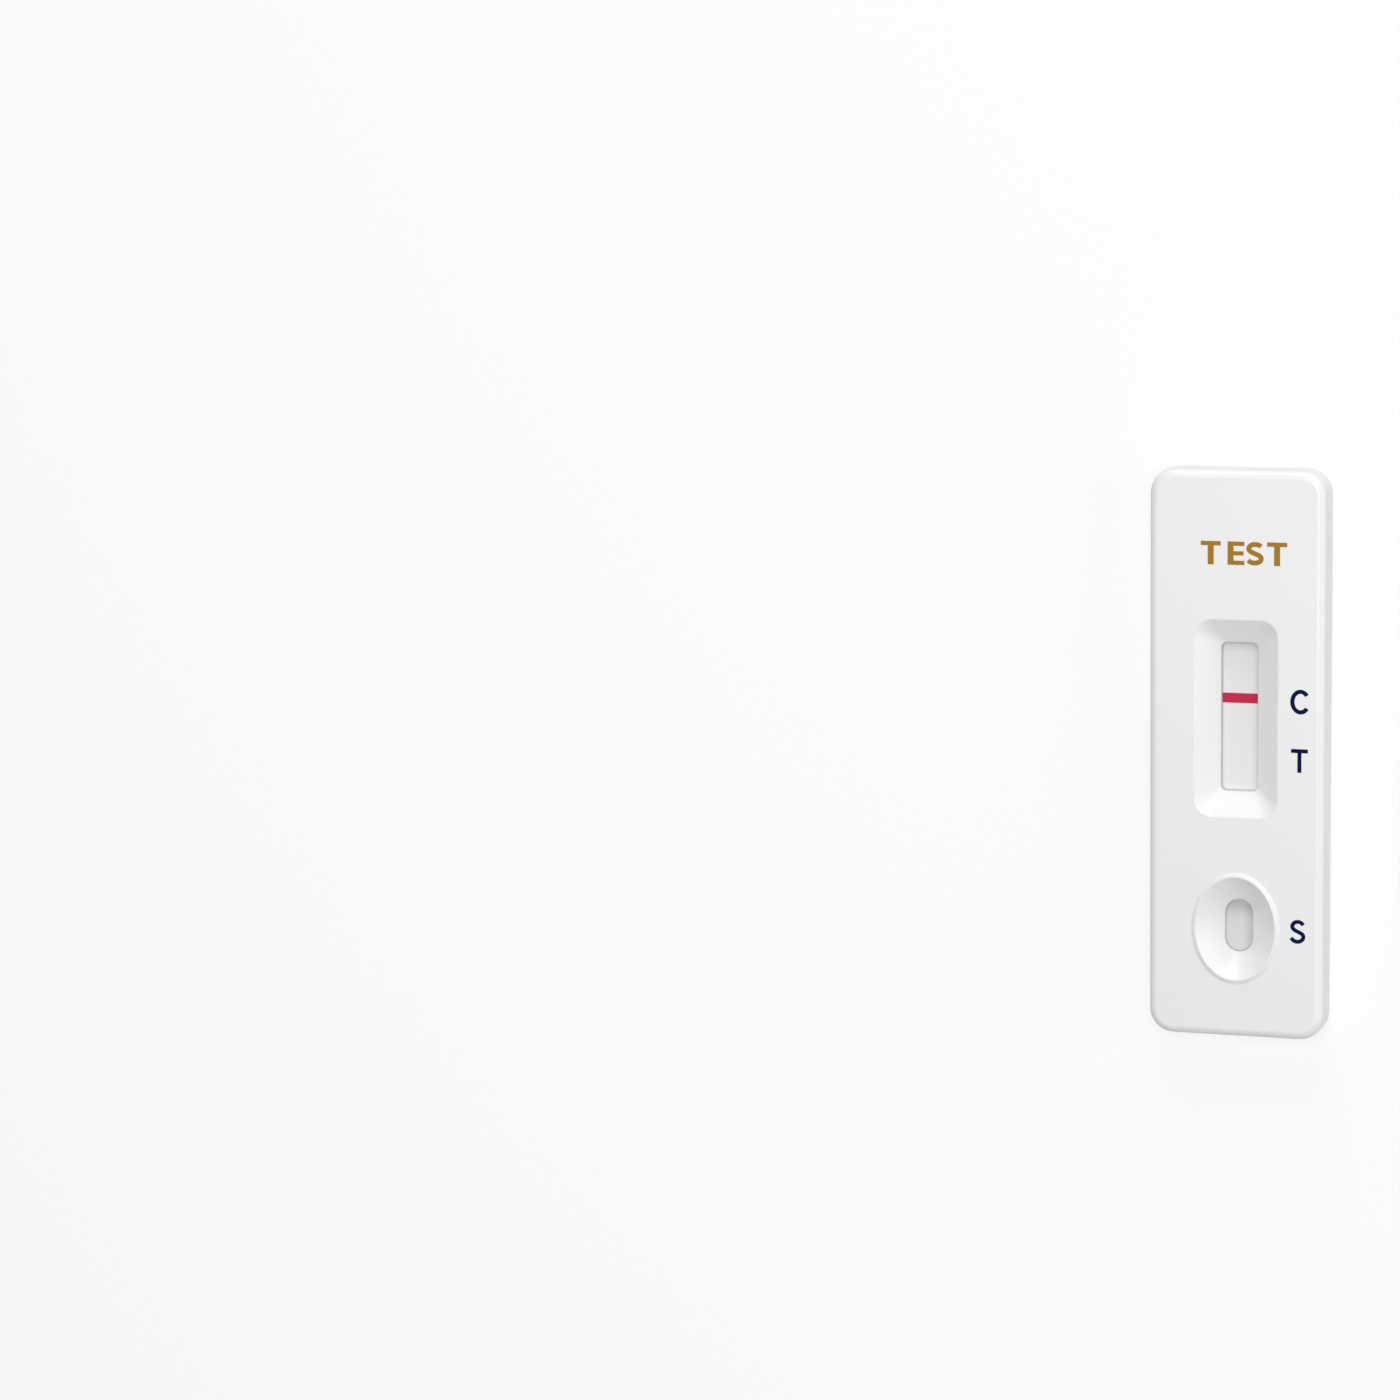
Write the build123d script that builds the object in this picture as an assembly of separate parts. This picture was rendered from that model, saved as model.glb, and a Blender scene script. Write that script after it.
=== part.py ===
from build123d import *
from math import asin, degrees
import os

# A lateral flow test cassette, lying on its back with its face up.
# Millimetres. X runs across it, +Y runs to its head end, away from the sample well,
# and +Z comes out of its face. The origin is on the underside, in the middle.

# Housing outside
body_length = 70.0
body_width = 21.8
body_height = 4.6  # underside to face, without the raised rim of the well
corner_radius = 3.05
face_edge_radius = 1.0
foot_edge_radius = 0.4
draft = 1.0  # degrees that the outer walls lean in, away from the seam
wall = 1.0
seam_height = 2.0
seam_chamfer = 0.1

# Step joint: a tongue on the base stands inside the skirt of the cover
tongue_height = 0.7
tongue_thickness = 0.45
joint_clearance = 0.05

# Test strip
strip_width = 5.0
strip_end_room = 4.0  # from the end wall to the end of the strip
card_thickness = 0.25
membrane_thickness = 0.15
conjugate_length = 7.0
conjugate_thickness = 0.3
sample_pad_thickness = 0.35
absorbent_thickness = 0.9
pad_overlap = 1.6
pad_ramp = 0.3  # length in which a pad climbs onto the piece that it overlaps
pad_gap = 0.2  # from a pad to the frame of the window
line_width = 1.2
line_depth = 0.08  # how deep the line's colour goes into the membrane
line_offset = 2.2  # from the middle of the window to the line

# Bed of the strip in the base
floor = 1.0
bed_rib_height = 0.4
bed_rib_width = 0.6
bed_rib_pitch = 5.0
rail_thickness = 0.8
strip_clearance = 0.1
strip_end_clearance = 0.3

# Result window: a recess with sloping walls round a straight opening
window_length = 18.3
window_corner = 0.7
window_cover = 0.25  # how far the opening's edge lies over each side of the strip
recess_width = 10.2
recess_length = 24.3
recess_corner = 2.2
recess_edge_radius = 0.4
mitre_share = 0.55  # share of the slope in which its corners stay tight
mitre_corner = 1.0
lip_height = 0.7
lip_width = 0.9
lip_clearance = 0.1
frame_margin = 0.3

# Sample well: a raised rim round an oval bowl, with a slot at the bottom
well_width = 9.8
well_length = 12.7
well_from_foot = 13.6  # from the foot end to the middle of the well
recess_from_well = 25.95  # from the middle of the well to the middle of the window
rim_width = 0.6
rim_height = 0.2
rim_slope = 0.4  # how far the outside of the rim leans in over its height
rim_crest_radius = 0.25
rim_foot_radius = 0.25
rim_inner_radius = 0.15
bowl_belly = 0.15  # how much the bowl bulges out from a straight cone, halfway down
port_width = 3.4
port_length = 6.5
port_lip_height = 0.32
collar_width = 0.9
press_clearance = 0.05

# Pressure bars under the cover
bar_width = 0.8
bar_overhang = 1.0  # past each side of the strip

# Pins on the cover, pressed into sockets on the base
pin_diameter = 1.6
pin_clearance = 0.02
pin_tip_chamfer = 0.25
pin_tip_gap = 0.3
socket_wall = 0.7
socket_lead_in = 0.2
socket_top_gap = 0.3
socket_side_gap = 0.6
socket_end_gap = 1.5
socket_recess_gap = 1.3

# For picking edges by their place
pick_tolerance = 0.001

# Places along the cassette
foot_end = -body_length / 2
well_centre = foot_end + well_from_foot
window_centre = well_centre + recess_from_well
strip_end = body_length / 2 - wall - strip_end_room

# Heights
mid_floor = floor / 2  # what stands on the floor is rooted here
mid_face = body_height - wall / 2  # what hangs under the face is rooted here
cover_underside = body_height - wall
tongue_top = seam_height + tongue_height
card_bottom = floor + bed_rib_height
card_top = card_bottom + card_thickness
membrane_top = card_top + membrane_thickness
lip_underside = membrane_top + lip_clearance
slope_foot = lip_underside + lip_height
collar_underside = card_top + sample_pad_thickness + press_clearance
port_edge = collar_underside + port_lip_height
rim_top = body_height + rim_height

# Window and pins
window_width = strip_width - 2 * window_cover
socket_diameter = pin_diameter + 2 * (pin_clearance + socket_wall)
pin_side = body_width / 2 - wall - socket_side_gap - socket_diameter / 2
pin_end = body_length / 2 - wall - socket_end_gap - socket_diameter / 2


def frame_reach(height):
    """How far the underside of the window's frame reaches from the window's middle, along Y."""
    low = window_length / 2 + lip_width
    high = recess_length / 2 + frame_margin
    share = (height - lip_underside) / (cover_underside - lip_underside)
    return low + share * (high - low)


# Ends of the strip's pieces, clear of the frame where it comes down to them
conjugate_on_membrane = membrane_top + conjugate_thickness
absorbent_on_membrane = membrane_top + absorbent_thickness
conjugate_head = window_centre - frame_reach(conjugate_on_membrane) - pad_gap
conjugate_foot = conjugate_head - conjugate_length
membrane_foot = conjugate_head - pad_overlap
sample_head = conjugate_foot + pad_overlap
absorbent_foot = window_centre + frame_reach(absorbent_on_membrane) + pad_gap
membrane_head = absorbent_foot + pad_overlap
sample_top = card_top + conjugate_thickness + sample_pad_thickness


def pin_places():
    """Middles of the pins: two rows at the ends, one above the window and one below it."""
    recess_head = window_centre + recess_length / 2
    recess_foot = window_centre - recess_length / 2
    rim_head = well_centre + well_length / 2 + rim_width
    above_window = recess_head + socket_recess_gap + socket_diameter / 2
    below_window = (recess_foot + rim_head) / 2
    rows = [-pin_end, below_window, above_window, pin_end]
    return [(side * pin_side, row) for row in rows for side in (-1, 1)]


def body_outline(inset=0.0):
    """Outline of the cassette seen from above, drawn in by inset."""
    return RectangleRounded(
        body_width - 2 * inset, body_length - 2 * inset, corner_radius - inset
    )


def prism(outline, bottom, top):
    """Straight block over an outline, between two heights."""
    return Pos(0, 0, bottom) * extrude(outline, top - bottom)


def bar(width, length, y, bottom, top):
    """Straight rib across the cassette at y."""
    return Pos(0, y, 0) * prism(Rectangle(width, length), bottom, top)


def edges_at(solid, height):
    """Edges of a solid that lie flat at one height."""
    return solid.edges().filter_by_position(
        Axis.Z, height - pick_tolerance, height + pick_tolerance
    )


def recess_cut():
    """Space of the window: sloping walls with mitred corners, then a straight opening."""
    middle = slope_foot + mitre_share * (body_height - slope_foot)
    middle_width = window_width + mitre_share * (recess_width - window_width)
    middle_length = window_length + mitre_share * (recess_length - window_length)
    opening = RectangleRounded(window_width, window_length, window_corner)
    sections = [
        Pos(0, 0, slope_foot) * opening,
        Pos(0, 0, middle) * RectangleRounded(middle_width, middle_length, mitre_corner),
        Pos(0, 0, body_height) * RectangleRounded(recess_width, recess_length, recess_corner),
    ]
    slopes = loft(sections, ruled=True)
    return Pos(0, window_centre, 0) * (slopes + prism(opening, lip_underside, slope_foot))


def recess_frame():
    """Walls of the window under the face, down to the lip over the membrane."""
    low = RectangleRounded(
        window_width + 2 * lip_width, window_length + 2 * lip_width, window_corner + lip_width
    )
    high = RectangleRounded(
        recess_width + 2 * frame_margin, recess_length + 2 * frame_margin, recess_corner
    )
    slopes = loft([Pos(0, 0, lip_underside) * low, Pos(0, 0, cover_underside) * high], ruled=True)
    return Pos(0, window_centre, 0) * (slopes + prism(high, cover_underside, mid_face))


def face_edges(cover, place, width, length):
    """Edges in the face of the cover round an opening at place, of that width and length."""
    reach_x = width / 2 + pick_tolerance
    reach_y = length / 2 + pick_tolerance

    def is_round_opening(edge):
        middle = edge.center()
        return abs(middle.X) < reach_x and abs(middle.Y - place) < reach_y

    return edges_at(cover, body_height).filter_by(is_round_opening)


def oval(width, length):
    """Oval in four arcs, which meet where the slot of the port turns from side to end."""
    shoulder = degrees(asin((port_length - port_width) / port_length))
    turns = [-shoulder, shoulder, 180 - shoulder, 180 + shoulder, 360 - shoulder]
    arcs = [
        Edge.make_ellipse(width / 2, length / 2, start_angle=start, end_angle=end)
        for start, end in zip(turns, turns[1:])
    ]
    return make_face(arcs)


def well_outline(outset):
    """Outline of the well, made larger all round by outset."""
    return oval(well_width + 2 * outset, well_length + 2 * outset)


def port_outline(outset=0.0):
    """Slot of the port, made larger all round by outset, in two sides and two ends."""
    radius = port_width / 2 + outset
    turn = (port_length - port_width) / 2
    right_side = Line((radius, -turn), (radius, turn))
    head_arc = CenterArc((0, turn), radius, 0, 180)
    left_side = Line((-radius, turn), (-radius, -turn))
    foot_arc = CenterArc((0, -turn), radius, 180, 180)
    return make_face([right_side, head_arc, left_side, foot_arc])


def bowl_cut():
    """Space of the sample well: an oval bowl that runs down into the slot of the port."""
    middle = (port_edge + rim_top) / 2
    middle_width = (port_width + well_width) / 2 + 2 * bowl_belly
    middle_length = (port_length + well_length) / 2 + 2 * bowl_belly
    sections = [
        Pos(0, 0, port_edge) * port_outline(),
        Pos(0, 0, middle) * oval(middle_width, middle_length),
        Pos(0, 0, rim_top) * oval(well_width, well_length),
    ]
    return Pos(0, well_centre, 0) * (loft(sections) + prism(port_outline(), collar_underside, port_edge))


def bowl_shell():
    """Walls of the well: its rim above the face, and the bowl down to the collar on the pad."""
    outline = well_outline(rim_width)
    crest = well_outline(rim_width - rim_slope)
    bowl = loft(
        [Pos(0, 0, collar_underside) * port_outline(collar_width), Pos(0, 0, mid_face) * outline]
    )
    rim = prism(outline, mid_face, body_height)
    rim += loft([Pos(0, 0, body_height) * outline, Pos(0, 0, rim_top) * crest], ruled=True)
    rim = fillet(edges_at(rim, rim_top), rim_crest_radius)
    return Pos(0, well_centre, 0) * (bowl + rim)


def pressure_bars():
    """Bars that hold the pads down where they overlap, and at both ends of the strip."""
    free_wick = strip_end - membrane_head
    places = [
        (conjugate_head - pad_overlap / 2, conjugate_on_membrane),
        (sample_head - pad_overlap / 2, sample_top),
        (absorbent_foot + pad_overlap / 2, absorbent_on_membrane),
        (membrane_head + free_wick / 3, card_top + absorbent_thickness),
        (membrane_head + free_wick * 2 / 3, card_top + absorbent_thickness),
        ((well_centre - port_length / 2 - strip_end) / 2, card_top + sample_pad_thickness),
    ]
    width = strip_width + 2 * bar_overhang
    return [
        bar(width, bar_width, y, pad_top + press_clearance, mid_face) for y, pad_top in places
    ]


def pin():
    """One pin under the cover, with a tapered tip."""
    tip = floor + pin_tip_gap
    post = prism(Circle(pin_diameter / 2), tip, mid_face)
    return chamfer(edges_at(post, tip), pin_tip_chamfer)


def socket():
    """One blind socket on the floor of the base, with a lead-in at its mouth."""
    top = cover_underside - socket_top_gap
    bore = Circle(pin_diameter / 2 + pin_clearance)
    tube = prism(Circle(socket_diameter / 2) - bore, floor, top)
    mouth = edges_at(tube, top).sort_by(SortBy.LENGTH)[0]
    return chamfer(mouth, socket_lead_in)


def cover_shell():
    """Outside of the cover: a shallow lid with leaning walls and a rounded edge round its face."""
    lid = Pos(0, 0, seam_height) * extrude(body_outline(), body_height - seam_height, taper=draft)
    lid = fillet(edges_at(lid, body_height), face_edge_radius)
    lid = chamfer(edges_at(lid, seam_height), seam_chamfer)
    rebate_inset = wall - tongue_thickness - joint_clearance
    lid -= prism(body_outline(wall), seam_height, cover_underside)
    return lid - prism(body_outline(rebate_inset), seam_height, tongue_top + joint_clearance)


def top_cover():
    """Cover of the cassette, moulded in one with its window, well, bars and pins."""
    cover = cover_shell() + pressure_bars() + recess_frame() + bowl_shell()
    cover = cover + [Pos(x, y, 0) * pin() for x, y in pin_places()]
    cover = cover - recess_cut() - bowl_cut()
    recess_edges = face_edges(cover, window_centre, recess_width, recess_length)
    cover = fillet(recess_edges, recess_edge_radius)
    rim_feet = face_edges(cover, well_centre, well_width + 2 * rim_width, well_length + 2 * rim_width)
    cover = fillet(rim_feet, rim_foot_radius)
    rim_edges = edges_at(cover, rim_top).sort_by(SortBy.LENGTH)
    return fillet(rim_edges[:4], rim_inner_radius)


def strip_bed():
    """Trough for the strip: two rails, two stops and a ladder of ribs that carry the card."""
    inside_width = strip_width + 2 * strip_clearance
    inside_length = 2 * (strip_end + strip_end_clearance)
    outside = Rectangle(inside_width + 2 * rail_thickness, inside_length + 2 * rail_thickness)
    trough = prism(outside - Rectangle(inside_width, inside_length), mid_floor, membrane_top)
    rib = bar(inside_width + rail_thickness, bed_rib_width, 0, mid_floor, card_bottom)
    rib_count = int(2 * strip_end / bed_rib_pitch)
    return trough + GridLocations(0, bed_rib_pitch, 1, rib_count) * rib


def base():
    """Base of the cassette: a tray with the strip's bed, the sockets and the tongue."""
    tray = Pos(0, 0, seam_height) * extrude(
        body_outline(), seam_height, dir=(0, 0, -1), taper=draft
    )
    tray = fillet(edges_at(tray, 0), foot_edge_radius)
    tray = chamfer(edges_at(tray, seam_height), seam_chamfer)
    tray += prism(body_outline(wall - tongue_thickness), floor, tongue_top)
    tray -= prism(body_outline(wall), floor, tongue_top)
    return tray + strip_bed() + [Pos(x, y, 0) * socket() for x, y in pin_places()]


def strip_piece(profile):
    """Flat piece of the strip from its side view, drawn as points along Y and Z."""
    side = make_face(Polyline(profile, close=True))
    return extrude(Plane.YZ * side, strip_width / 2, both=True)


def flat_piece(foot, head, bottom, thickness):
    """Strip piece with a plain rectangular side view."""
    top = bottom + thickness
    return strip_piece([(foot, bottom), (head, bottom), (head, top), (foot, top)])


def stepped_piece(foot, step, head, low, high, thickness):
    """Strip piece that lies at one height to the step and at the other past it."""
    if high > low:
        before, after = step - pad_ramp, step
    else:
        before, after = step, step + pad_ramp
    bottom = [(foot, low), (before, low), (after, high), (head, high)]
    top = [(y, z + thickness) for y, z in reversed(bottom)]
    return strip_piece(bottom + top)


def backing_card():
    """Card that carries the whole strip."""
    return flat_piece(-strip_end, strip_end, card_bottom, card_thickness)


def control_line():
    """Coloured stretch across the membrane at the control position."""
    foot = window_centre + line_offset - line_width / 2
    return flat_piece(foot, foot + line_width, membrane_top - line_depth, line_depth)


def membrane():
    """Membrane under the window, without the stretch that the control line colours."""
    return flat_piece(membrane_foot, membrane_head, card_top, membrane_thickness) - control_line()


def conjugate_pad():
    """Pad between the sample pad and the membrane, which it overlaps."""
    return stepped_piece(
        conjugate_foot, membrane_foot, conjugate_head, card_top, membrane_top, conjugate_thickness
    )


def sample_pad():
    """Pad under the port, lapped over the conjugate pad."""
    raised = card_top + conjugate_thickness
    return stepped_piece(
        -strip_end, conjugate_foot, sample_head, card_top, raised, sample_pad_thickness
    )


def absorbent_pad():
    """Wick at the head end, lapped over the membrane."""
    return stepped_piece(
        absorbent_foot, membrane_head, strip_end, membrane_top, card_top, absorbent_thickness
    )


pieces = {
    "top_cover": top_cover(),
    "base": base(),
    "backing_card": backing_card(),
    "membrane": membrane(),
    "control_line": control_line(),
    "conjugate_pad": conjugate_pad(),
    "sample_pad": sample_pad(),
    "absorbent_pad": absorbent_pad(),
}

os.makedirs("parts", exist_ok=True)
for name, piece in pieces.items():
    export_step(piece, f"parts/{name}.step")
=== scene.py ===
from math import atan2, degrees, radians

import bmesh
import bpy
from mathutils import Euler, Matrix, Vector


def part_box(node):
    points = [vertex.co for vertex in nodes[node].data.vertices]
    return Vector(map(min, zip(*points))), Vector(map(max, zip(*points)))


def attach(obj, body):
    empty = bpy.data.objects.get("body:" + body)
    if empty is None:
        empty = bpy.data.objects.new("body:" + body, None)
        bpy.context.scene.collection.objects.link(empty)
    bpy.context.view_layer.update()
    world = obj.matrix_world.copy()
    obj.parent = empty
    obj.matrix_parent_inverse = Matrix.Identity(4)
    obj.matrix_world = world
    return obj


# A lateral flow test cassette, lying on its back with its face up.
# Sizes and places below are in millimetres, and mm turns them into Blender's metres.
mm = 0.001

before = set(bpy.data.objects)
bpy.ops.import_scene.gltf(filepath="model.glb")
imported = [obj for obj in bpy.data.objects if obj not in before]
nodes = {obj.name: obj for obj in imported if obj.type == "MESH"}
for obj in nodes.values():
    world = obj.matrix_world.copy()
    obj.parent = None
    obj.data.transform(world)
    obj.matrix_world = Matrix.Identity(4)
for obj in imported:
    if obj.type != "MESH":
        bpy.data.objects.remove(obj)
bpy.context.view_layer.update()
print("frame loaded:", len(nodes), "solids")


class Wire:
    # a node's output that takes Python's operators
    def __init__(self, book, socket):
        self.book = book
        self.socket = socket

    def __add__(self, other):
        return self.book.math("ADD", self, other)

    def __sub__(self, other):
        return self.book.math("SUBTRACT", self, other)

    def __rsub__(self, other):
        return self.book.math("SUBTRACT", other, self)

    def __mul__(self, other):
        return self.book.math("MULTIPLY", self, other)

    def __truediv__(self, other):
        return self.book.math("DIVIDE", self, other)

    __radd__ = __add__
    __rmul__ = __mul__


class NodeBook:
    # the nodes of one material or world
    def __init__(self, owner):
        owner.use_nodes = True
        self.tree = owner.node_tree
        self.tree.nodes.clear()

    def add(self, kind, settings=None, sockets=None, output=0):
        node = self.tree.nodes.new(kind)
        for name, value in (settings or {}).items():
            setattr(node, name, value)
        for name, value in (sockets or {}).items():
            if isinstance(value, Wire):
                self.tree.links.new(value.socket, node.inputs[name])
            else:
                node.inputs[name].default_value = value
        return Wire(self, node.outputs[output]) if node.outputs else node

    def math(self, operation, first, second=0.0):
        return self.add("ShaderNodeMath", {"operation": operation}, {0: first, 1: second})

    def mixColour(self, share, first, second):
        return self.add("ShaderNodeMix", {"data_type": "RGBA"}, {0: share, 6: first, 7: second}, 2)

    def noise(self, place, size, detail=2.0):
        # size is the width of the pattern's features in millimetres
        return self.add("ShaderNodeTexNoise", {}, {
            "Vector": place, "Scale": 1 / (size * mm), "Detail": detail})

    def mapRange(self, value, low, high, atLow, atHigh):
        return self.add("ShaderNodeMapRange", {"interpolation_type": "SMOOTHSTEP"}, {
            "Value": value, "From Min": low, "From Max": high, "To Min": atLow, "To Max": atHigh})

    def edgeShade(self, room, shade):
        # a painted shade's share that fades out over its width from an edge, given the room to it in
        # millimetres
        width, share = shade
        return self.mapRange(room, 0.0, width, share, 0.0)

    def parts(self, place):
        split = self.add("ShaderNodeSeparateXYZ", {}, {"Vector": place})
        return [Wire(self, socket) for socket in split.socket.node.outputs]

    def bump(self, height, depth):
        return self.add("ShaderNodeBump", {}, {
            "Strength": 1.0, "Distance": depth * mm, "Height": height})

    def surface(self, sockets):
        # closes a material with one shader
        shader = self.add("ShaderNodeBsdfPrincipled", {}, sockets)
        self.add("ShaderNodeOutputMaterial", {}, {"Surface": shader})


def newMaterial(name):
    material = bpy.data.materials.new(name)
    book = NodeBook(material)
    return material, book, book.add("ShaderNodeTexCoord", output="Object")


def colour(red, green, blue):
    # sRGB from 0 to 255, as linear light
    def light(level):
        level = level / 255
        return level / 12.92 if level <= 0.04045 else ((level + 0.055) / 1.055) ** 2.4
    return (light(red), light(green), light(blue), 1.0)


def grey(level):
    return colour(level, level, level)


def darker(shade, share):
    return tuple(level * (1 - share) for level in shade[:3]) + (1.0,)


plastic = {
    "colour": grey(236), "mottle": 0.012, "mottleSize": 9.0,
    "roughness": 0.36, "roughnessSpread": 0.08,
    "grainSize": 0.11, "grainDepth": 0.0014, "grainDetail": 3.0,
    # the line keys set the painted shade line round the window and the port
    "shadeLineColour": grey(150), "lineAbove": 0.08, "lineBelow": 0.35, "lineShare": 0.6,
    "windowTop": 2.6, "portTop": 2.37, "windowFoot": -10.0, "reach": (3.2, 30.0),
}


def paintedShadeRoundOpenings(book, place):
    # painted shade: a thin darker line round the edges of the window and the port, where shade falls into
    # the openings
    across, along, up = book.parts(place)
    atPort = book.math("LESS_THAN", along, plastic["windowFoot"] * mm)
    over = up / mm - plastic["windowTop"] + atPort * (plastic["windowTop"] - plastic["portTop"])
    above = book.mapRange(over, 0.0, plastic["lineAbove"], plastic["lineShare"], 0.0)
    below = book.mapRange(over, -2 * plastic["lineBelow"], -plastic["lineBelow"], 0.0, 1.0)
    inX = book.math("LESS_THAN", book.math("ABSOLUTE", across), plastic["reach"][0] * mm)
    inY = book.math("LESS_THAN", book.math("ABSOLUTE", along), plastic["reach"][1] * mm)
    return above * below * inX * inY


def whitePlastic():
    material, book, place = newMaterial("whitePlastic")
    cloud = book.noise(place, plastic["mottleSize"])
    grain = book.noise(place, plastic["grainSize"], plastic["grainDetail"])
    light = plastic["colour"]
    skin = book.mixColour(cloud, darker(light, plastic["mottle"]), light)
    # the base colour is darkened by painted shade round the window and port openings
    book.surface({
        "Base Color": book.mixColour(paintedShadeRoundOpenings(book, place), skin, plastic["shadeLineColour"]),
        "Roughness": plastic["roughness"] + (grain - 0.5) * plastic["roughnessSpread"],
        "Normal": book.bump(grain, plastic["grainDepth"])})
    return material


# fibres are sized and raised for each paper, and drawn out along the strip by a stretch under 1
paper = {
    "wick": {"colour": grey(232), "fibre": 0.2, "depth": 0.03, "stretch": (1.0, 0.35, 1.0)},
    "conjugate": {
        "colour": colour(206, 150, 156), "fibre": 0.12, "depth": 0.02, "stretch": (1.0, 0.4, 1.0)},
    "card": {"colour": grey(236), "fibre": 0.4, "depth": 0.002, "stretch": (1.0, 1.0, 1.0)},
}
pulp = {"detail": 4.0, "mottle": 0.06, "roughness": 0.9, "gloss": 0.25}


def fibresOf(book, place, stock):
    turned = book.add("ShaderNodeMapping", {}, {"Vector": place, "Scale": stock["stretch"]})
    return book.noise(turned, stock["fibre"], pulp["detail"])


def pulpSurface(book, fibre, stock, shade):
    book.surface({
        "Base Color": shade, "Roughness": pulp["roughness"], "Specular IOR Level": pulp["gloss"],
        "Normal": book.bump(fibre, stock["depth"])})


def fibrousPaper(name):
    stock = paper[name]
    material, book, place = newMaterial(name + "Paper")
    fibre = fibresOf(book, place, stock)
    shade = book.mixColour(fibre, darker(stock["colour"], pulp["mottle"]), stock["colour"])
    pulpSurface(book, fibre, stock, shade)
    return material


# each painted shade is a width and the share that it reaches at the edge
pad = {
    "colour": grey(226), "shaded": grey(120),
    "fibre": 0.16, "depth": 0.03, "stretch": (1.0, 0.35, 1.0),
    "middle": -21.4, "straight": 1.55, "radius": 1.7,
    "ring": (0.15, 0.2), "headShade": (2.8, 0.42), "sideShade": (1.5, 0.25),
}


def paintedPortShade(book, place):
    # painted shade: greyer towards the edges of the port, most of all at its head, then its right side,
    # where the port's walls shadow the pad
    across, along, up = book.parts(place)
    fromMiddle = book.math("ABSOLUTE", along / mm - pad["middle"])
    pastEnd = book.math("MAXIMUM", fromMiddle - pad["straight"], 0.0)
    away = book.math("SQRT", across / mm * (across / mm) + pastEnd * pastEnd)
    headRoom = pad["middle"] + pad["straight"] + pad["radius"] - along / mm
    rightRoom = pad["radius"] - across / mm
    return (book.edgeShade(pad["radius"] - away, pad["ring"]) + book.edgeShade(headRoom, pad["headShade"])
            + book.edgeShade(rightRoom, pad["sideShade"]))


def samplePad():
    material, book, place = newMaterial("samplePad")
    fibre = fibresOf(book, place, pad)
    light = book.mixColour(fibre, darker(pad["colour"], pulp["mottle"]), pad["colour"])
    # the pad's colour is darkened by painted shade inside the port
    pulpSurface(book, fibre, pad, book.mixColour(paintedPortShade(book, place), light, pad["shaded"]))
    return material


# the membrane, with a faint blush where the line's dye has crept
membrane = {
    "colour": grey(238), "shaded": grey(90), "roughness": 0.85, "gloss": 0.3,
    "poreSize": 0.05, "poreDepth": 0.006, "poreDetail": 4.0, "cloudSize": 3.0, "cloud": 0.015,
    "blush": colour(226, 120, 140), "blushWidth": 0.14, "blushShare": 0.35,
}
lineFoot, lineHead = [corner[1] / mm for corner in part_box("control_line")]
line = {
    "middle": (lineFoot + lineHead) / 2, "width": lineHead - lineFoot,
    "colour": colour(208, 40, 78), "shaded": colour(60, 4, 20), "mottle": 0.12, "fibreSize": 0.07,
    "rim": colour(186, 26, 62), "rimWidth": 0.12,
}
# the window's edges, with the widths and shares of the painted shade along them
window = {
    "middle": 4.55, "halfWidth": 2.25, "halfLength": 9.15,
    "edgeShade": (0.5, 0.1), "headShade": (1.5, 0.24), "sideShade": (1.2, 0.14),
}


def awayFromLine(book, place):
    # millimetres from the line's nearer edge, below nought inside it
    along = book.parts(place)[1]
    return book.math("ABSOLUTE", along / mm - line["middle"]) - line["width"] / 2


def paintedWindowShade(book, place):
    # painted shade: greyer towards the edges of the window, most of all at its head, then its right side,
    # where the lip shadows the strip
    across, along, up = book.parts(place)
    sideRoom = window["halfWidth"] - book.math("ABSOLUTE", across / mm)
    endRoom = window["halfLength"] - book.math("ABSOLUTE", along / mm - window["middle"])
    room = book.math("MINIMUM", sideRoom, endRoom)
    headRoom = window["middle"] + window["halfLength"] - along / mm
    rightRoom = window["halfWidth"] - across / mm
    return (book.edgeShade(room, window["edgeShade"]) + book.edgeShade(headRoom, window["headShade"])
            + book.edgeShade(rightRoom, window["sideShade"]))


def porousSurface(book, place, pores, bare, shaded):
    # the colour is darkened by painted shade near the window's edges
    book.surface({
        "Base Color": book.mixColour(paintedWindowShade(book, place), bare, shaded),
        "Roughness": membrane["roughness"], "Specular IOR Level": membrane["gloss"],
        "Normal": book.bump(pores, membrane["poreDepth"])})


def membraneSheet():
    material, book, place = newMaterial("membraneSheet")
    pores = book.noise(place, membrane["poreSize"], membrane["poreDetail"])
    cloud = book.noise(place, membrane["cloudSize"])
    white = book.mixColour(cloud, darker(membrane["colour"], membrane["cloud"]), membrane["colour"])
    spread = awayFromLine(book, place) / membrane["blushWidth"] + (pores - 0.5)
    fade = book.mapRange(spread, 0.0, 1.0, membrane["blushShare"], 0.0)
    blushed = book.mixColour(fade, white, membrane["blush"])
    porousSurface(book, place, pores, blushed, membrane["shaded"])
    return material


def lineDye():
    material, book, place = newMaterial("lineDye")
    fibre = book.noise(place, line["fibreSize"], membrane["poreDetail"])
    edge = awayFromLine(book, place) / line["rimWidth"] + (fibre - 0.5)
    middle = book.mixColour(fibre, darker(line["colour"], line["mottle"]), line["colour"])
    dyed = book.mixColour(book.mapRange(edge, -1.0, 0.0, 0.0, 1.0), middle, line["rim"])
    porousSurface(book, place, fibre, dyed, line["shaded"])
    return material


ink = {
    "navy": colour(5, 13, 66), "gold": colour(170, 127, 42), "cloudSize": 0.5, "cloud": 0.1,
    "roughness": 0.6, "roughnessSpread": 0.2, "gloss": 0.06,
    "speckSize": 0.09, "speckDepth": 0.0015, "speckDetail": 3.0,
}


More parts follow.
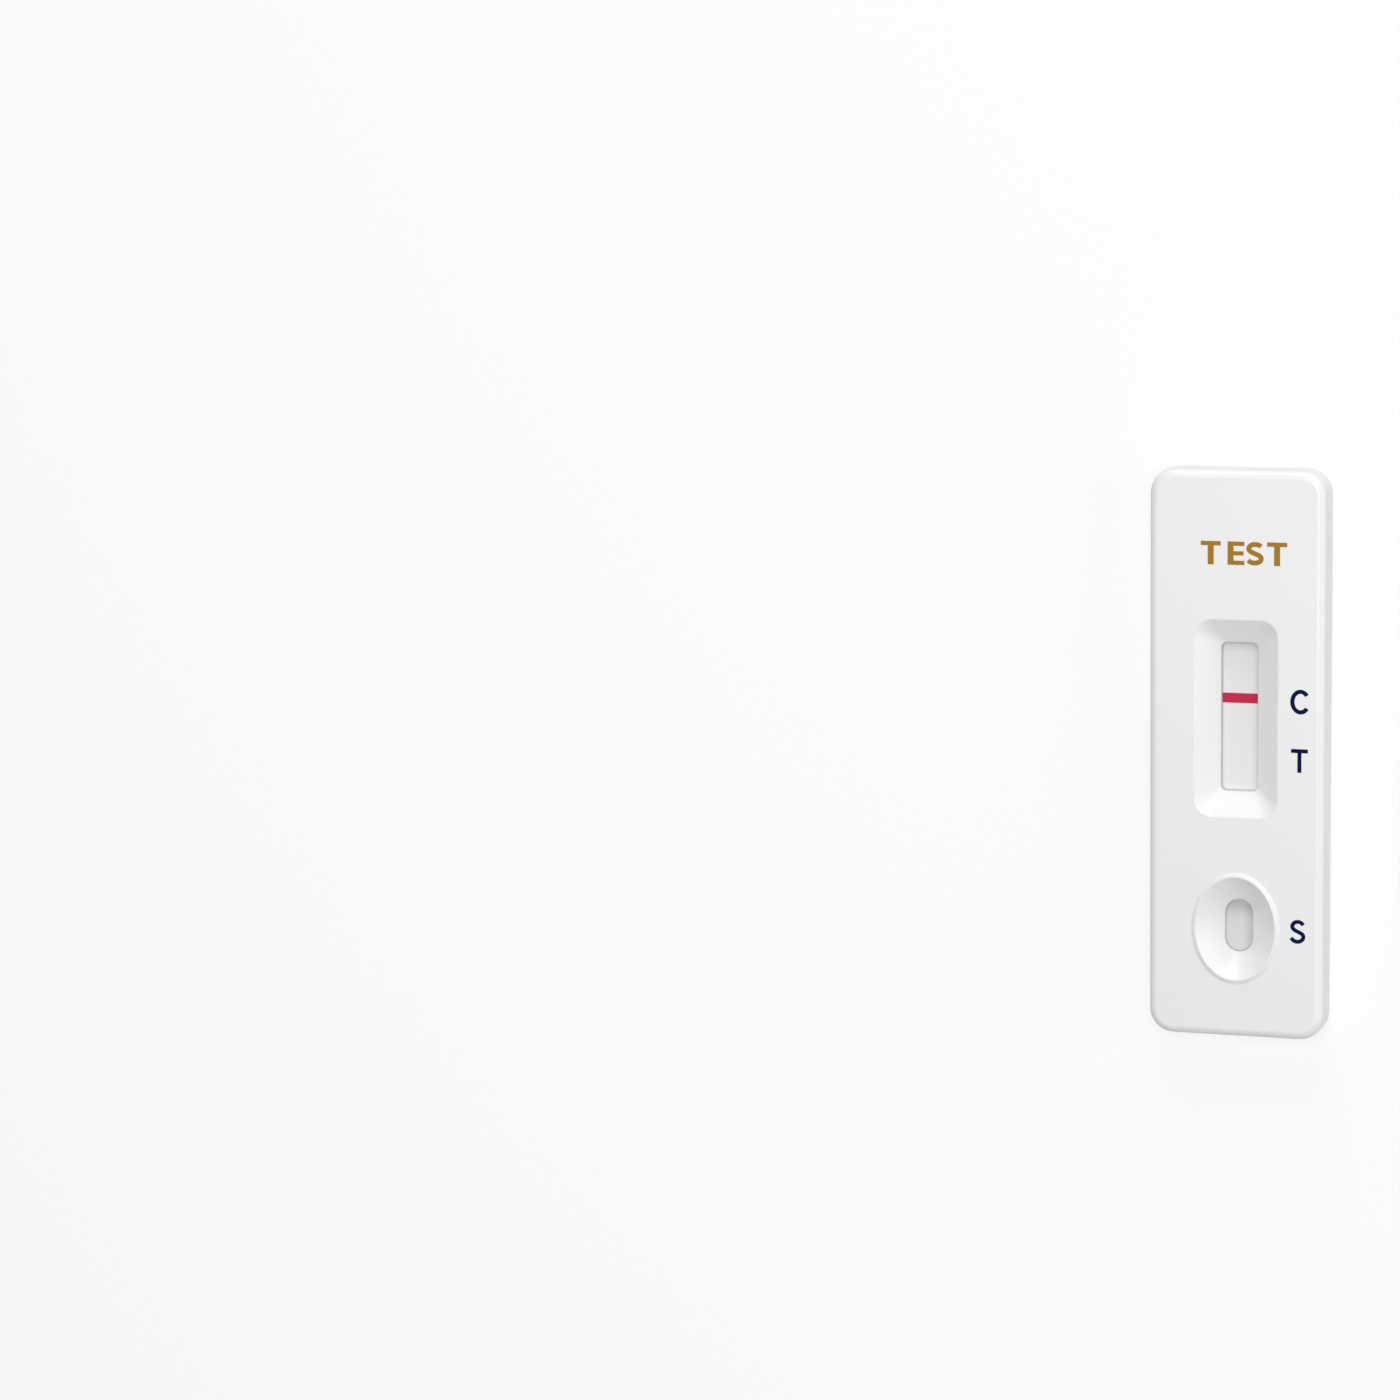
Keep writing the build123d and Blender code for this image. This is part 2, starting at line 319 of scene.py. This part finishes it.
def printedInk(name):
    material, book, place = newMaterial(name + "Ink")
    speck = book.noise(place, ink["speckSize"], ink["speckDetail"])
    cloud = book.noise(place, ink["cloudSize"])
    book.surface({
        "Base Color": book.mixColour(cloud, darker(ink[name], ink["cloud"]), ink[name]),
        "Roughness": ink["roughness"] + (speck - 0.5) * ink["roughnessSpread"],
        "Specular IOR Level": ink["gloss"],
        "Normal": book.bump(speck, ink["speckDepth"])})
    return material


def dress(name, material):
    nodes[name].material_slots[0].material = material


housing = whitePlastic()
dress("top_cover", housing)
dress("base", housing)
dress("backing_card", fibrousPaper("card"))
dress("membrane", membraneSheet())
dress("control_line", lineDye())
dress("sample_pad", samplePad())
dress("absorbent_pad", fibrousPaper("wick"))
dress("conjugate_pad", fibrousPaper("conjugate"))
navyInk = printedInk("navy")
goldInk = printedInk("gold")
print("materials made")


# The printed marks are drawn at the origin with a millimetre to the unit,
# then moved to the face and scaled down.
film = {"face": 4.6, "sunk": 0.012, "proud": 0.012, "edge": 0.008, "edgeSteps": 2, "edgeAngle": 50.0}
drawing = {"circleSteps": 180, "curveSteps": 16, "merge": 0.001, "sideNear": 0.01, "armNear": 0.05}
letterC = {"place": (7.94, 6.94), "reach": (1.0, 1.26), "opening": 38.0, "stroke": 0.52}
letterT = {"place": (7.85, -0.295), "tall": 2.91, "stem": 0.5, "arms": [
    (2.42, 2.91, -1, 0.79), (2.42, 2.91, 1, 0.79)]}
letterS = {"place": (7.76, -21.41), "stroke": 0.49, "points": [
    (0.67, 0.84, -0.15, 0.24), (-0.01, 1.235, -0.36, 0.0), (-0.67, 0.627, 0.0, -0.33),
    (0.046, -0.01, 0.30, -0.14), (0.71, -0.61, 0.0, -0.34), (-0.025, -1.24, -0.38, 0.0),
    (-0.80, -0.765, -0.16, 0.26)]}
wordT = {"tall": 2.86, "stem": 0.75, "arms": [(2.32, 2.86, -1, 0.86), (2.32, 2.86, 1, 0.86)]}
wordE = {"tall": 2.86, "stem": 0.74, "arms": [
    (0.0, 0.53, 1, 1.34), (1.17, 1.68, 1, 1.24), (2.33, 2.86, 1, 1.34)]}
wordS = {"stroke": 0.60, "points": [
    (0.74, 0.86, -0.20, 0.20), (-0.02, 1.13, -0.40, 0.0), (-0.76, 0.60, 0.0, -0.30),
    (0.0, 0.0, 0.34, -0.13), (0.78, -0.60, 0.0, -0.30), (-0.02, -1.13, -0.42, 0.0),
    (-0.84, -0.82, -0.22, 0.18)]}
word = {"middle": (0.88, 24.88), "letters": [
    ("T", wordT, -4.09), ("E", wordE, -1.64), ("S", wordS, 1.37), ("T", wordT, 4.09)]}


def pickEdges(piece, wanted):
    # selects the edges whose middle passes the test, in edit mode
    mesh = bmesh.from_edit_mesh(piece.data)
    bpy.ops.mesh.select_mode(type="EDGE")
    bpy.ops.mesh.select_all(action="DESELECT")
    for edge in mesh.edges:
        if wanted((edge.verts[0].co + edge.verts[1].co) / 2):
            edge.select_set(True)
    bmesh.update_edit_mesh(piece.data)


def applyModifier(piece, kind, **values):
    modifier = piece.modifiers.new(kind.lower(), kind)
    for name, value in values.items():
        setattr(modifier, name, value)
    bpy.ops.object.modifier_apply(modifier=modifier.name)


def ribbonLetter(piece, stroke):
    # raises a line to a wall and gives the wall the stroke's width
    bpy.ops.object.mode_set(mode="EDIT")
    bpy.ops.mesh.select_all(action="SELECT")
    bpy.ops.mesh.extrude_region_move(
        TRANSFORM_OT_translate={"value": (0, 0, film["sunk"] + film["proud"])})
    bpy.ops.object.mode_set(mode="OBJECT")
    applyModifier(piece, "SOLIDIFY", thickness=stroke, offset=0.0, use_even_offset=True)


def roundLetter(letter):
    bpy.ops.object.select_all(action="DESELECT")
    bpy.ops.mesh.primitive_circle_add(vertices=drawing["circleSteps"], radius=1.0)
    piece = bpy.context.object
    bpy.ops.object.mode_set(mode="EDIT")
    pickEdges(piece, lambda middle: abs(degrees(atan2(middle.y, middle.x))) < letter["opening"])
    bpy.ops.mesh.delete(type="EDGE")
    bpy.ops.mesh.select_all(action="SELECT")
    bpy.ops.transform.resize(value=(*letter["reach"], 1.0))
    bpy.ops.object.mode_set(mode="OBJECT")
    ribbonLetter(piece, letter["stroke"])
    return piece


def bentLetter(letter):
    # each point gives its place and the pull of its handles
    bpy.ops.object.select_all(action="DESELECT")
    bpy.ops.curve.primitive_bezier_curve_add()
    piece = bpy.context.object
    spline = piece.data.splines[0]
    spline.bezier_points.add(len(letter["points"]) - 2)
    for point, (x, y, pullX, pullY) in zip(spline.bezier_points, letter["points"]):
        point.handle_left_type = point.handle_right_type = "FREE"
        point.co = (x, y, 0)
        point.handle_left = (x - pullX, y - pullY, 0)
        point.handle_right = (x + pullX, y + pullY, 0)
    piece.data.resolution_u = drawing["curveSteps"]
    bpy.ops.object.convert(target="MESH")
    piece = bpy.context.object
    ribbonLetter(piece, letter["stroke"])
    return piece


def straightLetter(letter):
    # an upright with arms drawn out of its sides: low, high, side and length
    bpy.ops.object.select_all(action="DESELECT")
    bpy.ops.mesh.primitive_plane_add(size=1.0)
    piece = bpy.context.object
    half = letter["tall"] / 2
    bpy.ops.object.mode_set(mode="EDIT")
    bpy.ops.transform.resize(value=(letter["stem"], letter["tall"], 1.0))
    for height in sorted({round(end - half, 4) for arm in letter["arms"] for end in arm[:2]}):
        if abs(height) < half - drawing["sideNear"]:
            bpy.ops.mesh.select_all(action="SELECT")
            bpy.ops.mesh.bisect(
                plane_co=(0, height, 0), plane_no=(0, 1, 0), threshold=drawing["merge"])
    for low, high, side, length in letter["arms"]:
        pickEdges(piece, lambda middle: abs(middle.x - side * letter["stem"] / 2) < drawing["sideNear"]
                  and abs(middle.y + half - (low + high) / 2) < drawing["armNear"])
        bpy.ops.mesh.extrude_region_move(TRANSFORM_OT_translate={"value": (side * length, 0, 0)})
    bpy.ops.mesh.select_all(action="SELECT")
    bpy.ops.mesh.normals_make_consistent(inside=False)
    bpy.ops.object.mode_set(mode="OBJECT")
    applyModifier(piece, "SOLIDIFY", thickness=film["sunk"] + film["proud"], offset=1.0)
    return piece


def layInk(piece, name, place, material):
    # squares the film's foot to the face, softens its edge and brings it to size
    bpy.ops.object.mode_set(mode="EDIT")
    bpy.ops.mesh.select_all(action="SELECT")
    bpy.ops.mesh.remove_doubles(threshold=drawing["merge"])
    bpy.ops.mesh.normals_make_consistent(inside=False)
    bpy.ops.object.mode_set(mode="OBJECT")
    applyModifier(piece, "BEVEL", width=film["edge"], segments=film["edgeSteps"],
                  limit_method="ANGLE", angle_limit=radians(film["edgeAngle"]))
    low = min(vertex.co.z for vertex in piece.data.vertices)
    piece.location = Vector((place[0], place[1], film["face"] - film["sunk"] - low)) * mm
    piece.scale = (mm, mm, mm)
    bpy.ops.object.transform_apply(location=True, rotation=True, scale=True)
    piece.name = name
    piece.data.materials.clear()
    piece.data.materials.append(material)
    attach(piece, "root")


layInk(roundLetter(letterC), "printedC", letterC["place"], navyInk)
layInk(straightLetter(letterT), "printedT", letterT["place"], navyInk)
layInk(bentLetter(letterS), "printedS", letterS["place"], navyInk)
for number, (shape, letter, shift) in enumerate(word["letters"]):
    build = bentLetter if shape == "S" else straightLetter
    place = (word["middle"][0] + shift, word["middle"][1])
    layInk(build(letter), "printedWord%d" % (number + 1), place, goldInk)
print("marks printed")


room = {
    "floorSize": 4000.0, "floorDrop": 0.01, "floorColour": grey(252), "white": grey(255),
    "glow": 0.7, "bounce": grey(212), "ambient": 0.18,
}
lamps = {
    "head": {"place": (0.0, 773.0, 207.0), "size": 500.0, "power": 2.84},
    "side": {"place": (773.0, 0.0, 207.0), "size": 500.0, "power": 1.71},
    "top": {"place": (98.0, 98.0, 788.0), "size": 500.0, "power": 4.1},
}
cameraSet = {
    "place": (124.4, 92.1, 564.2), "turn": (-8.673, 18.958, -0.764), "lens": 121.7, "clipStart": 10.0,
}


def showsWhite(book):
    # 1 where a camera, glossy or transmission ray looks, 0 for the light that falls on things
    path = book.tree.nodes.new("ShaderNodeLightPath")
    seen = [Wire(book, path.outputs[name]) for name in
            ("Is Camera Ray", "Is Glossy Ray", "Is Transmission Ray")]
    return book.math("MINIMUM", seen[0] + seen[1] + seen[2], 1.0)


def makeWorld():
    world = bpy.data.worlds.new("studio")
    bpy.context.scene.world = world
    book = NodeBook(world)
    glow = book.add("ShaderNodeBackground", {}, {"Color": room["white"], "Strength": 1.0})
    light = book.add("ShaderNodeBackground", {}, {"Color": room["white"], "Strength": room["ambient"]})
    both = book.add("ShaderNodeMixShader", {}, {0: showsWhite(book), 1: light, 2: glow})
    book.add("ShaderNodeOutputWorld", {}, {"Surface": both})


def makeFloor():
    bpy.ops.object.select_all(action="DESELECT")
    bpy.ops.mesh.primitive_plane_add(
        size=room["floorSize"] * mm, location=(0, 0, -room["floorDrop"] * mm))
    floor = bpy.context.object
    floor.name = "floor"
    material = bpy.data.materials.new("paleFloor")
    book = NodeBook(material)
    matt = book.add("ShaderNodeBsdfDiffuse", {}, {"Color": room["floorColour"]})
    glow = book.add("ShaderNodeEmission", {}, {"Color": room["white"], "Strength": 1.0})
    seen = book.add("ShaderNodeMixShader", {}, {0: room["glow"], 1: matt, 2: glow})
    bounce = book.add("ShaderNodeBsdfDiffuse", {}, {"Color": room["bounce"]})
    both = book.add("ShaderNodeMixShader", {}, {0: showsWhite(book), 1: bounce, 2: seen})
    book.add("ShaderNodeOutputMaterial", {}, {"Surface": both})
    floor.data.materials.append(material)


def makeLamp(name):
    lamp = lamps[name]
    light = bpy.data.lights.new(name, "AREA")
    light.shape = "DISK"
    light.size = lamp["size"] * mm
    light.energy = lamp["power"]
    holder = bpy.data.objects.new(name, light)
    holder.location = Vector(lamp["place"]) * mm
    holder.rotation_euler = (-holder.location).to_track_quat("-Z", "Y").to_euler()
    bpy.context.scene.collection.objects.link(holder)


def makeCamera():
    data = bpy.data.cameras.new("camera")
    data.lens = cameraSet["lens"]
    data.clip_start = cameraSet["clipStart"] * mm
    holder = bpy.data.objects.new("camera", data)
    holder.location = Vector(cameraSet["place"]) * mm
    holder.rotation_euler = Euler([radians(angle) for angle in cameraSet["turn"]])
    bpy.context.scene.collection.objects.link(holder)
    bpy.context.scene.camera = holder


makeWorld()
makeFloor()
for name in lamps:
    makeLamp(name)
makeCamera()
bpy.context.scene.view_settings.view_transform = "Standard"
print("room, lamps and camera set")
